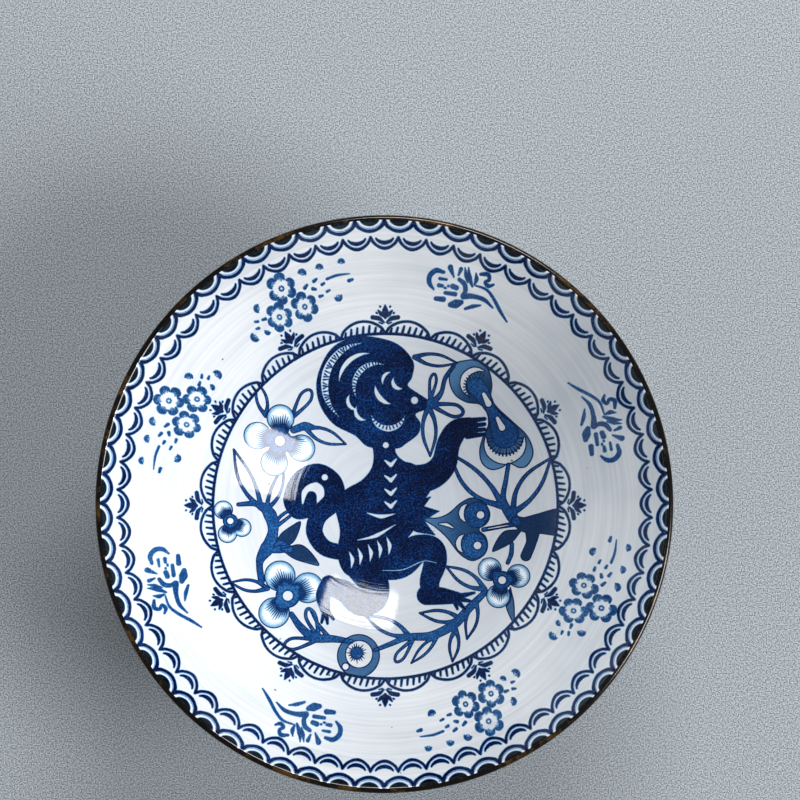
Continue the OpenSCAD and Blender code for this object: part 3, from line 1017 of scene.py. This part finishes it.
class Nodes:
    """A short way to write a node material."""

    def __init__(self, name):
        self.material = bpy.data.materials.new(name)
        self.material.use_nodes = True
        self.tree = self.material.node_tree
        self.shader = self.tree.nodes["Principled BSDF"]

    def add(self, kind, **values):
        node = self.tree.nodes.new(kind)
        for key, value in values.items():
            if key in node.inputs:
                node.inputs[key].default_value = value
            else:
                setattr(node, key, value)
        return node

    def join(self, source, target):
        self.tree.links.new(source, target)

    def place(self):
        return self.add("ShaderNodeTexCoord").outputs["Object"]

    def noise(self, scale, detail, rough, vector=None):
        """Noise with features of about 1 / scale metres."""
        node = self.add("ShaderNodeTexNoise", Scale=scale, Detail=detail, Roughness=rough)
        self.join(vector or self.place(), node.inputs["Vector"])
        return node.outputs["Fac"]

    def ramp(self, value, *stops):
        node = self.add("ShaderNodeValToRGB")
        for k, (place, colour) in enumerate(stops):
            element = node.color_ramp.elements[k] if k < 2 else node.color_ramp.elements.new(place)
            element.position = place
            element.color = colour
        self.join(value, node.inputs["Fac"])
        return node.outputs["Color"]

    def math(self, operation, a, b=0.5):
        node = self.add("ShaderNodeMath", operation=operation)
        for socket, value in zip(node.inputs, (a, b)):
            if isinstance(value, (int, float)):
                socket.default_value = value
            else:
                self.join(value, socket)
        return node.outputs[0]

    def weighted(self, *terms):
        """The sum of some values, each given with its weight."""
        total = None
        for value, weight in terms:
            term = value if weight == 1 else self.math("MULTIPLY", value, weight)
            total = term if total is None else self.math("ADD", total, term)
        return total

    def mix(self, share, a, b):
        node = self.add("ShaderNodeMix", data_type="RGBA")
        for socket, value in ((node.inputs[0], share), (node.inputs[6], a), (node.inputs[7], b)):
            if isinstance(value, (tuple, float)):
                socket.default_value = value
            else:
                self.join(value, socket)
        return node.outputs[2]

    def wheel_lines(self):
        """Noise drawn out into arcs round the axis, as throwing leaves in the wall."""
        split = self.add("ShaderNodeSeparateXYZ")
        self.join(self.place(), split.inputs[0])
        x, y, z = split.outputs
        ring = self.math("SQRT", self.math("ADD", self.math("MULTIPLY", x, x), self.math("MULTIPLY", y, y)))
        merge = self.add("ShaderNodeCombineXYZ")
        self.join(self.weighted((ring, 1), (z, 0.6)), merge.inputs[0])
        self.join(self.math("MULTIPLY", x, 0.03), merge.inputs[1])
        self.join(self.math("MULTIPLY", y, 0.03), merge.inputs[2])
        return self.noise(1100, 4.0, 0.6, merge.outputs[0])

    def axis_distance(self):
        """How far a point is from the bowl's axis, in metres."""
        flat = self.add("ShaderNodeVectorMath", operation="MULTIPLY")
        self.join(self.place(), flat.inputs[0])
        flat.inputs[1].default_value = (1, 1, 0)
        length = self.add("ShaderNodeVectorMath", operation="LENGTH")
        self.join(flat.outputs[0], length.inputs[0])
        return length.outputs["Value"]

    def bump(self, height, strength, distance):
        node = self.add("ShaderNodeBump", Strength=strength, Distance=distance)
        self.join(height, node.inputs["Height"])
        return node

    def finish(self, colour, roughness, height, strength, distance):
        self.join(colour, self.shader.inputs["Base Color"])
        self.shader.inputs["Roughness"].default_value = roughness
        self.shader.inputs["IOR"].default_value = 1.5
        bump = self.bump(height, strength, distance)
        self.join(bump.outputs["Normal"], self.shader.inputs["Normal"])
        return self.material


GLOSS = 0.05                                # roughness of the fired glaze
WAVE_BUMP = 0.35                            # strength of the waviness that all glazed faces share
WAVE_DEPTH = 0.00006


def glazed_face(n):
    """The height that every glazed face shares: slow waves, throwing lines and a faint orange peel."""
    waves = n.noise(55, 2.0, 0.5)
    peel = n.noise(900, 2.0, 0.5)
    lines = n.wheel_lines()
    return n.weighted((waves, 1), (lines, 1.1), (peel, 0.03))


def glaze_material(name):
    """Clear gloss glaze on white clay, with a blue-grey shade painted in near the axis, which darkens the
    inner bottom.
    """
    n = Nodes(name)
    cloud = n.noise(38, 3.0, 0.5)
    lines = n.wheel_lines()
    share = n.weighted((cloud, 0.5), (lines, 0.5))
    body = n.ramp(share, (0.38, srgb(214, 218, 222)), (0.62, srgb(238, 240, 241)))
    # painted shade: within about 22 to 33 mm of the axis the glaze is mixed towards blue-grey, darkest in the
    # middle
    painted_centre_shade = n.ramp(n.axis_distance(), (0.022, (0.55, 0.55, 0.55, 1)), (0.033, (0, 0, 0, 1)))
    body = n.mix(painted_centre_shade, body, srgb(186, 192, 200))
    speck = n.ramp(n.noise(620, 1.0, 0.4), (0.185, (0, 0, 0, 1)), (0.2, (1, 1, 1, 1)))
    colour = n.mix(speck, srgb(120, 116, 104), body)
    return n.finish(colour, GLOSS, glazed_face(n), WAVE_BUMP, WAVE_DEPTH)


def cobalt_material(name, deep, mean, light):
    """Printed cobalt under the glaze: a mottle of grains over a slow drift of strength."""
    n = Nodes(name)
    mottle = n.noise(3600, 3.0, 0.7)
    slow = n.noise(120, 2.0, 0.5)
    share = n.weighted((mottle, 0.75), (slow, 0.25))
    colour = n.ramp(share, (0.36, srgb(*deep)), (0.5, srgb(*mean)), (0.66, srgb(*light)))
    return n.finish(colour, GLOSS, glazed_face(n), WAVE_BUMP, WAVE_DEPTH)


PETAL_TONES = ((0.08, (238, 242, 246)), (0.45, (150, 188, 216)), (0.95, (40, 104, 152)))
FRUIT_TONES = ((0.1, (92, 134, 172)), (0.5, (46, 84, 124)), (0.95, (8, 36, 72)))


COBALTS = (                                 # name, then the deep, the mean and the light colour
    ("dark cobalt", (1, 6, 28), (3, 24, 66), (18, 84, 150)),
    ("mid cobalt", (8, 48, 100), (24, 76, 130), (68, 126, 176)),
    ("edge cobalt", (4, 26, 66), (10, 44, 90), (30, 78, 128)),
    ("line cobalt", (0, 5, 32), (2, 22, 68), (16, 66, 128)),
    ("leaf cobalt", (8, 48, 98), (24, 74, 126), (64, 118, 166)),
    ("sprig cobalt", (6, 40, 86), (24, 76, 126), (70, 124, 170)),
    ("cobalt under iron", (4, 6, 8), (8, 16, 26), (34, 54, 66)),
    ("wash cobalt", (80, 126, 178), (124, 164, 204), (176, 204, 228)),
    ("bleeding cobalt", (92, 140, 186), (128, 168, 206), (180, 206, 228)),
    ("outside cobalt", (3, 8, 28), (8, 24, 62), (24, 58, 108)),
)


def toned_material(name, tones, grain_share):
    """Blue that fades by the tone stored on the mesh, broken up by fine grains."""
    n = Nodes(name)
    tone = n.add("ShaderNodeAttribute", attribute_name="tone").outputs["Fac"]
    grain = n.noise(3200, 3.0, 0.7)
    share = n.weighted((tone, 1), (n.math("SUBTRACT", grain, 0.5), grain_share))
    colour = n.ramp(share, *((place, srgb(*colour)) for place, colour in tones))
    return n.finish(colour, GLOSS, glazed_face(n), WAVE_BUMP, WAVE_DEPTH)


def brown_material(name):
    """Iron wash over the lip, near black where it lies thick and gold brown where it breaks."""
    n = Nodes(name)
    patches = n.noise(190, 4.0, 0.62)
    grain = n.noise(1500, 3.0, 0.6)
    share = n.weighted((patches, 0.7), (grain, 0.3))
    colour = n.ramp(share, (0.36, srgb(6, 5, 4)), (0.52, srgb(24, 17, 8)), (0.7, srgb(104, 75, 32)))
    return n.finish(colour, 0.16, n.math("ADD", grain, patches), 0.3, 0.00004)


def bisque_material(name):
    """Bare fired clay: matt, fine-grained, with turning marks."""
    n = Nodes(name)
    grain = n.noise(1900, 5.0, 0.7)
    stain = n.noise(150, 3.0, 0.6)
    stained = n.ramp(stain, (0.35, (0, 0, 0, 1)), (0.7, (1, 1, 1, 1)))
    colour = n.mix(stained, srgb(226, 219, 205), srgb(205, 193, 172))
    height = n.weighted((grain, 1), (n.wheel_lines(), 1.5))
    return n.finish(colour, 0.78, height, 0.35, 0.00008)


def porcelain_material(name):
    """The white clay body, hidden under the glaze."""
    n = Nodes(name)
    colour = n.ramp(n.noise(300, 4.0, 0.6), (0.3, srgb(226, 228, 224)), (0.7, srgb(240, 241, 238)))
    return n.finish(colour, 0.5, n.noise(1800, 3.0, 0.6), 0.2, 0.00003)


# ---------------------------------------------------------------- the turned surfaces

FOOT_JOIN_R = 0.35                          # mm: round where the belly meets the foot
GLAZE_END_R = 0.14                          # mm: round of the glaze's lower edge
SPONGED_R = 0.55                            # mm: rounds of the standing edge
WELL_COVE_R = 0.8                           # mm: cove between the bore and the well's ceiling


def lip_line(start, stop, depth):
    """Part of the lip's round, between two angles below horizontal."""
    return [LIP + (LIP_R - depth) * out_dir(a) for a in np.linspace(start, stop, 20)]


def foot_side(z, depth):
    return FOOT_R + COAT_T - depth + (FOOT_TOP_R - FOOT_R) * z / FOOT_SIDE_H


def foot_hit(depth):
    """The angle at which the belly, at a depth, meets the foot's leaning side."""
    def gap(a):
        p = OUTSIDE.at(a, depth)
        return p[0] - foot_side(p[1], depth)
    low, high = 50.0, 80.0
    for _ in range(50):
        mid = (low + high) / 2
        low, high = (mid, high) if gap(mid) > 0 else (low, mid)
    return low


def rounded(corner, before, after, radius, steps=5):
    """A small round in place of a corner of a section."""
    c = np.array(corner, float)
    a, b = np.array(before, float) - c, np.array(after, float) - c
    a, b = a / np.hypot(*a) * radius, b / np.hypot(*b) * radius
    t = np.linspace(0, 1, steps)[:, None]
    return list((1 - t) ** 2 * (c + a) + 2 * t * (1 - t) * c + t ** 2 * (c + b))


def make_inner_glaze():
    face = INSIDE.line(LIP_LEAN, 90, 0, 110)
    back = INSIDE.line(90, LIP_LEAN, COAT_T, 40)
    face[-1][0] = back[0][0] = 0.0
    return turned_solid("inner_glaze_coat", face[::-1] + back[::-1])


def make_outer_glaze():
    hit, hit_in = foot_hit(0), foot_hit(COAT_T)
    face = OUTSIDE.line(LIP_LEAN, hit, 0, 90)
    corner, line_end = face.pop(), (foot_side(GLAZE_LINE_Z, 0), GLAZE_LINE_Z)
    face += rounded(corner, face[-1], line_end, FOOT_JOIN_R, 7)
    inner_end = (foot_side(GLAZE_LINE_Z, COAT_T), GLAZE_LINE_Z)
    face += rounded(line_end, corner, inner_end, GLAZE_END_R)
    back = [inner_end] + OUTSIDE.line(hit_in, LIP_LEAN, COAT_T, 40)
    return turned_solid("outer_glaze_coat", (face + back)[::-1])


def make_lip():
    """The brown over the lip, and the glaze on the lip's inner side that carries the border's first row."""
    brown_end = math.degrees(math.acos((BROWN_R - LIP[0]) / LIP_R))
    pieces = []
    for name, start, stop in (("lip_dressing", LIP_LEAN, -brown_end),
                              ("lip_glaze", -brown_end, LIP_LEAN - 180)):
        face, back = lip_line(start, stop, 0), lip_line(stop, start, COAT_T)
        pieces.append(turned_solid(name, face + back, 480))
    return pieces


def make_foot():
    """The bare standing edge, softened as a sponge leaves it, and the ring's clay up to the belly."""
    top = WELL_Z
    out_low, out_top = (FOOT_R, 0.0), (foot_side(top, COAT_T), top)
    bore_low, bore_top = (FOOT_BORE_R, 0.0), (FOOT_BORE_R, top)
    section = (rounded(bore_low, bore_top, out_low, SPONGED_R, 7)
               + rounded(out_low, bore_low, out_top, SPONGED_R, 7) + [out_top, bore_top])
    return turned_solid("turned_foot", section, 300)


def make_well_glaze():
    face_r, ceiling = FOOT_BORE_R - COAT_T, WELL_Z - COAT_T
    cove = rounded((face_r, ceiling), (face_r, 0), (0, ceiling), WELL_COVE_R, 9)
    section = [(0, WELL_Z), (0, ceiling), *cove[::-1], (face_r, GLAZE_LINE_Z), (FOOT_BORE_R, GLAZE_LINE_Z),
               (FOOT_BORE_R, WELL_Z)]
    return turned_solid("well_glaze_coat", section, 300)


def make_banding():
    """Two painted rings, thin closed bands that stand a hair proud of the outside glaze."""
    pieces = []
    for name, (z0, z1) in (("upper_banding", BAND_Z), ("lower_banding", BASE_BAND_Z)):
        a0, a1 = (float(OUTSIDE.angle(outer_radius(z))) for z in (z1, z0))
        face = OUTSIDE.line(a0, a1, -LIFTS["dark"] - 0.004, 6)
        back = OUTSIDE.line(a1, a0, BURY, 6)
        pieces.append(turned_solid(name, (face + back)[::-1]))
    return pieces


# ---------------------------------------------------------------- assembly

def finish_piece(obj, material, slot, *nodes):
    obj.data.materials.append(material)
    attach(obj, "root")
    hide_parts(*nodes)


def petal_tone(flowers):
    """How blue the ground of the flowers is: at the hearts, along the petals' edges, white between."""
    def measure(xy):
        tone = np.zeros(len(xy))
        for f in flowers:
            from_heart = np.hypot(*(xy - f["centre"]).T) / f["radius"]
            petal = np.min([np.hypot(*(xy - s).T) for s in f["spots"]], axis=0) / f["petal_r"]
            near = from_heart < 1.05
            heart = np.clip((0.76 - from_heart) / 0.38, 0, 1)
            edge = 0.9 * np.clip((petal - 0.45) / 0.55, 0, 1) ** 1.6
            tone = np.where(near, np.maximum(heart, edge), tone)
        return tone
    return measure


def fruit_tone(xy):
    """How dark the fruits' blue is: darkest round the gourd's waist, pale at the root of the twin fruit."""
    waist = 1.15 - np.hypot(*(xy - spot(.635, .56)).T) / 8.5
    husk = np.clip(np.abs(xy[:, 0] / PICTURE_R - 0.2) * 1.7 + 0.1, 0, 0.8)
    return np.where(xy[:, 1] > 0.15 * PICTURE_R, waist, np.where(xy[:, 1] > -0.33 * PICTURE_R, husk, 0.35))


def print_with_halo(name, ink, tone, material, slot, node, halo, spacing=0.8):
    """A print over the soft lighter rim that the cobalt bleeds into the glaze."""
    bleed = ink.grown(BLEED)
    bleed.keep_inside(BROWN_R)
    finish_piece(print_solid(name + "_bleed", bleed, "shade", spacing=spacing), halo, slot, node)
    finish_piece(print_solid(name, ink, tone, spacing=spacing), material, slot, node)


def main():
    """Makes every piece, in the order in which a potter and a decorator would."""
    glaze = glaze_material("clear glaze")
    cobalts = [cobalt_material(*row) for row in COBALTS]
    dark, mid, edge, line, leafy, sprig, moon, wash, halo, black = cobalts

    finish_piece(make_inner_glaze(), glaze, "glaze", "inner_glaze")
    finish_piece(make_outer_glaze(), glaze, "glaze", "outer_glaze")
    finish_piece(make_well_glaze(), glaze, "glaze", "foot_well_glaze")
    brown, glazed = make_lip()
    finish_piece(brown, brown_material("iron brown"), "iron_brown", "rim_band")
    finish_piece(glazed, glaze, "glaze", "rim_band")
    finish_piece(make_foot(), bisque_material("bare clay"), "bisque", "foot_ring")
    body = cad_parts["bowl_body"]
    body.data.materials.clear()
    body.data.materials.append(porcelain_material("porcelain body"))

    art = picture()
    print_with_halo("monkey_print", art["dark"], "dark", dark, "cobalt_dark", "medallion_print", halo)
    finish_piece(print_solid("wreath_print", art["mid"], "mid"), mid, "cobalt_mid", "medallion_print")
    finish_piece(print_solid("wreath_edges", art["edges"]), edge, "cobalt_mid", "medallion_print")
    fruit = print_solid("fruit_print", art["pale"], "pale", spacing=0.6, measure=fruit_tone)
    finish_piece(fruit, toned_material("fruit cobalt", FRUIT_TONES, 0.5), "cobalt_mid", "medallion_print")
    tones = petal_tone(art["flowers"])
    grounds = print_solid("petal_shading", art["shade"], "shade", spacing=0.4, measure=tones)
    shading = toned_material("petal shading", PETAL_TONES, 0.55)
    finish_piece(grounds, shading, "cobalt_pale", "medallion_print")
    print_with_halo("lace_lines", art["rim"], "dark", line, "cobalt_line", "lace_print", halo)

    ring = borders()
    finish_piece(print_solid("scale_wash", ring["wash"], "pale"), wash, "cobalt_pale", "rim_scale_print")
    for name, ink, material in (("scale_lines", ring["scale"], line), ("scale_moons", ring["moons"], moon)):
        print_with_halo(name, ink, "dark", material, "cobalt_line", "rim_scale_print", halo, LIP_STEP)
    print_with_halo("palmette_marks", ring["palm"], "dark", line, "cobalt_line", "palmette_prints", halo)
    print_with_halo("blossom_marks", ring["bloom"], "mid", sprig, "cobalt_pale", "blossom_prints", halo)
    print_with_halo("leaf_marks", ring["leaves"], "mid", leafy, "cobalt_pale", "leaf_prints", halo)

    petals, stars = outside()
    finish_piece(print_solid("petal_lines", petals, surface=OUTSIDE), black, "cobalt_outside", "petal_print")
    finish_piece(print_solid("star_lines", stars, surface=OUTSIDE), black, "cobalt_outside", "star_print")
    for band in make_banding():
        finish_piece(band, black, "cobalt_outside", "banding_lines")


# ---------------------------------------------------------------- the studio

def area_light(name, azimuth, elevation, distance, width, height, strength, colour):
    """A soft box that looks at the bowl. The strength is the radiance of its face."""
    light = bpy.data.lights.new(name, "AREA")
    light.shape = "RECTANGLE"
    light.size, light.size_y = width, height
    light.energy = strength * width * height * math.pi
    light.color = colour
    obj = bpy.data.objects.new(name, light)
    a, e = math.radians(azimuth), math.radians(elevation)
    aim = Vector((0, 0, 0.02))
    back = Vector((math.cos(e) * math.cos(a), math.cos(e) * math.sin(a), math.sin(e)))
    turn = (-back).to_track_quat("-Z", "Y").to_matrix()
    obj.matrix_world = Matrix.Translation(aim + back * distance) @ turn.to_4x4()
    bpy.context.scene.collection.objects.link(obj)
    return obj


def make_floor():
    """A plain pale floor."""
    mesh = bpy.data.meshes.new("floor")
    half = 6.0
    corners = [(-half, -half, 0), (half, -half, 0), (half, half, 0), (-half, half, 0)]
    mesh.from_pydata(corners, [], [(0, 1, 2, 3)])
    obj = bpy.data.objects.new("floor", mesh)
    bpy.context.scene.collection.objects.link(obj)
    n = Nodes("floor paper")
    colour = n.ramp(n.noise(4600, 1.0, 0.5), (0.34, srgb(100, 106, 110)), (0.66, srgb(189, 195, 200)))
    mesh.materials.append(n.finish(colour, 0.6, n.noise(4200, 1.0, 0.5), 0.2, 0.00006))


def make_camera():
    """Nearly straight above the bowl, a little towards its near side, looking past it."""
    data = bpy.data.cameras.new("camera")
    data.sensor_width, data.lens = 36, 169.8
    data.clip_start, data.clip_end = 0.05, 30
    obj = bpy.data.objects.new("camera", data)
    bpy.context.scene.collection.objects.link(obj)
    place = Vector((5, -13, 639)) * MM
    aim = Vector((2.5, 16.4, 39)) * MM
    way = (aim - place).normalized()
    right = way.cross(Vector((0, 1, 0))).normalized()
    up = right.cross(way)
    obj.matrix_world = Matrix.Translation(place) @ Matrix((right, up, -way)).transposed().to_4x4()
    bpy.context.scene.camera = obj


def make_studio():
    """Two soft boxes, a dim fill and a grey room. Boxes give direction, distance, width, height, radiance."""
    make_floor()
    make_camera()
    daylight = (0.975, 0.985, 1.0)
    area_light("window_box", 76, 46, 0.75, 0.375, 0.208, 13.2, daylight)
    area_light("side_box", -20, 38, 1.6, 0.66, 0.8, 11.8, daylight)
    fill = area_light("fill_box", 205, 20, 1.6, 1.0, 1.0, 1.9, (1.0, 1.0, 1.0))
    fill.visible_glossy = fill.visible_camera = False       # a far wall, too dull to show in the glaze
    world = bpy.data.worlds.new("room")
    world.use_nodes = True
    background = world.node_tree.nodes["Background"]
    background.inputs["Color"].default_value = (0.88, 0.89, 0.9, 1)
    background.inputs["Strength"].default_value = 0.22
    scene = bpy.context.scene
    scene.world = world
    scene.view_settings.view_transform = "Standard"
    scene.view_settings.look = "Medium High Contrast"


main()
make_studio()
